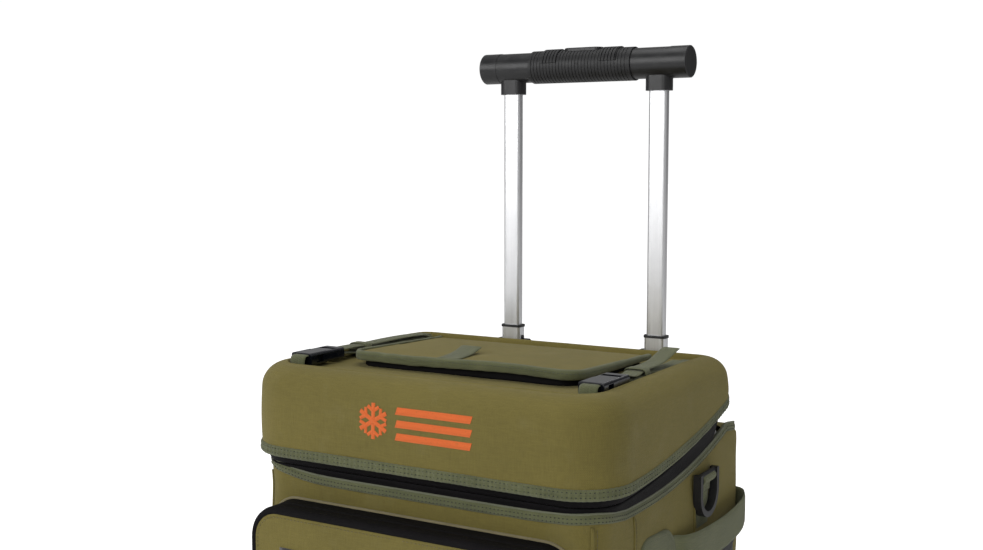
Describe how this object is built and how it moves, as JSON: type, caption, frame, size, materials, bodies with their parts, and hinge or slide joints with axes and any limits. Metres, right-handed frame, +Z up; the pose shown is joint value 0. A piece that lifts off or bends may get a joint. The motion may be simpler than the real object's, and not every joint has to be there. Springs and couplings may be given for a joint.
{
  "type": "wheeled soft cooler",
  "caption": "Soft-sided insulated cooler box with moulded zip lid and hatch, front pocket, side handles, rear wheels and two-stage pull handle.",
  "frame": {"origin": "on the ground, under the middle of the bounding box", "axes": "+Z up along the pull handle, -Y to the front pocket, +X to the right seen from the front"},
  "size_m": [0.4392, 0.4384, 0.836],
  "materials": {
    "olive_fabric": "woven polyester, soft sheen",
    "green_webbing": "ribbed webbing",
    "zipper_tape": "coated reverse-coil zipper tape",
    "loop_fabric": "napped loop fabric",
    "mesh_fabric": "knitted mesh",
    "elastic": "woven elastic",
    "foam": "closed-cell foam",
    "liner": "welded liner film",
    "black_plastic": "moulded, fine grain",
    "handle_plastic": "moulded, satin",
    "hub_plastic": "moulded",
    "buckle_plastic": "moulded, glossy",
    "nylon": "natural",
    "grip_rubber": "ribbed, soft",
    "tyre_rubber": "treaded",
    "leg_aluminium": "satin anodised",
    "steel": "plated",
    "zinc": "black painted die casting"
  },
  "bodies": {
    "cooler": {"body_shell": "olive_fabric", "body_foam": "foam", "inner_liner": "liner", "body_binding": "green_webbing", "base_tray": "black_plastic", "front_feet": "black_plastic", "tray_screws": "steel", "fixed_legs": "leg_aluminium", "leg_bracket": "black_plastic", "leg_bezels": "black_plastic", "lower_zipper_tape": "zipper_tape", "hinge_strip": "green_webbing", "pocket_rear_tape": "zipper_tape", "wheel_housings": "black_plastic", "axles": "steel", "side_handles": "green_webbing", "ring_loops": "green_webbing", "mesh_pockets": "mesh_fabric", "pocket_elastics": "elastic"},
    "middle_stage": {"middle_legs": "leg_aluminium", "middle_collars": "black_plastic", "middle_stops": "black_plastic", "middle_glides": "nylon"},
    "upper_stage": {"upper_legs": "leg_aluminium", "upper_glides": "nylon", "handle_bar": "handle_plastic", "handle_end_caps": "handle_plastic", "grip_sleeve": "grip_rubber", "button_spring": "steel"},
    "button": {"release_button": "handle_plastic"},
    "lid": {"lid_shell": "olive_fabric", "lid_binding": "green_webbing", "lid_foam": "foam", "lid_liner": "liner", "upper_zipper_tape": "zipper_tape", "hatch_zipper_wall": "zipper_tape", "straps": "green_webbing", "strap_anchors": "green_webbing", "buckle_sockets": "buckle_plastic"},
    "hatch": {"hatch_panel": "olive_fabric", "hatch_binding": "green_webbing", "hatch_foam": "foam", "hatch_pull_tab": "green_webbing"},
    "left_plug": {"left_buckle_plug": "buckle_plastic"},
    "right_plug": {"right_buckle_plug": "buckle_plastic"},
    "left_wheel": {"left_wheel_hub": "hub_plastic", "left_tyre": "tyre_rubber"},
    "right_wheel": {"right_wheel_hub": "hub_plastic", "right_tyre": "tyre_rubber"},
    "left_ring": {"left_d_ring": "buckle_plastic"},
    "right_ring": {"right_d_ring": "buckle_plastic"},
    "pocket_front": {"pocket_cover": "olive_fabric", "pocket_patch": "loop_fabric"},
    "front_zip_slider": {"main_slider_front": "zinc"},
    "front_zip_puller": {"main_puller_front": "zinc"},
    "rear_zip_slider": {"main_slider_rear": "zinc"},
    "rear_zip_puller": {"main_puller_rear": "zinc"},
    "hatch_zip_slider": {"hatch_slider": "zinc"},
    "pocket_zip_slider": {"pocket_slider": "zinc"},
    "pocket_zip_puller": {"pocket_puller": "zinc"}
  },
  "joints": [
    {"name": "middle_stage_slide", "type": "slide", "parent": "cooler", "child": "middle_stage", "axis": [0, 0, 1], "range_m": [0, 0.28]},
    {"name": "upper_stage_slide", "type": "slide", "parent": "middle_stage", "child": "upper_stage", "axis": [0, 0, 1], "range_m": [-0.288, 0]},
    {"name": "button_press", "type": "slide", "parent": "upper_stage", "child": "button", "axis": [0, 0, -1], "range_m": [0, 0.003], "stiffness_N_per_m": 800, "springref_m": -0.002, "deforming": ["button_spring"]},
    {"name": "lid_hinge", "type": "hinge", "parent": "cooler", "child": "lid", "pos_m": [0, 0.16, 0.434], "axis": [-1, 0, 0], "range_deg": [0, 52]},
    {"name": "hatch_hinge", "type": "hinge", "parent": "lid", "child": "hatch", "pos_m": [0, 0.085, 0.477], "axis": [1, 0, 0], "range_deg": [-105, 0]},
    {"name": "left_plug_slide", "type": "slide", "parent": "lid", "child": "left_plug", "axis": [0, 1, 0], "range_m": [0, 0.022]},
    {"name": "right_plug_slide", "type": "slide", "parent": "lid", "child": "right_plug", "axis": [0, 1, 0], "range_m": [0, 0.022]},
    {"name": "left_wheel_spin", "type": "hinge", "parent": "cooler", "child": "left_wheel", "pos_m": [-0.174, 0.1692, 0.05], "axis": [1, 0, 0], "continuous": true},
    {"name": "right_wheel_spin", "type": "hinge", "parent": "cooler", "child": "right_wheel", "pos_m": [0.174, 0.1692, 0.05], "axis": [1, 0, 0], "continuous": true},
    {"name": "left_ring_swing", "type": "hinge", "parent": "cooler", "child": "left_ring", "pos_m": [-0.21, 0.083, 0.354], "axis": [0, 1, 0], "range_deg": [0, 110]},
    {"name": "right_ring_swing", "type": "hinge", "parent": "cooler", "child": "right_ring", "pos_m": [0.21, 0.083, 0.354], "axis": [0, -1, 0], "range_deg": [0, 110]},
    {"name": "pocket_fold", "type": "hinge", "parent": "cooler", "child": "pocket_front", "pos_m": [0, -0.1995, 0.0705], "axis": [1, 0, 0], "range_deg": [0, 50]},
    {"name": "front_zip_slide", "type": "slide", "parent": "cooler", "child": "front_zip_slider", "axis": [0, -0.9988, -0.0496], "range_m": [0, 0.055]},
    {"name": "front_zip_puller_swing", "type": "hinge", "parent": "front_zip_slider", "child": "front_zip_puller", "pos_m": [-0.21895, -0.078, 0.37853], "axis": [0, 1, 0], "range_deg": [0, 100]},
    {"name": "rear_zip_slide", "type": "hinge", "parent": "cooler", "child": "rear_zip_slider", "pos_m": [0, -0.16, 1.485], "axis": [1, 0, 0], "range_deg": [0, 8.2]},
    {"name": "rear_zip_puller_swing", "type": "hinge", "parent": "rear_zip_slider", "child": "rear_zip_puller", "pos_m": [-0.21895, -0.058, 0.3802], "axis": [0, 1, 0], "range_deg": [0, 100]},
    {"name": "hatch_zip_slide", "type": "slide", "parent": "lid", "child": "hatch_zip_slider", "axis": [0, -1, 0], "range_m": [0, 0.09]},
    {"name": "pocket_zip_slide", "type": "slide", "parent": "cooler", "child": "pocket_zip_slider", "axis": [0, 0, 1], "range_m": [0, 0.17]},
    {"name": "pocket_zip_puller_swing", "type": "hinge", "parent": "pocket_zip_slider", "child": "pocket_zip_puller", "pos_m": [0.1913, -0.1995, 0.118], "axis": [0, -1, 0], "range_deg": [0, 100]}
  ]
}
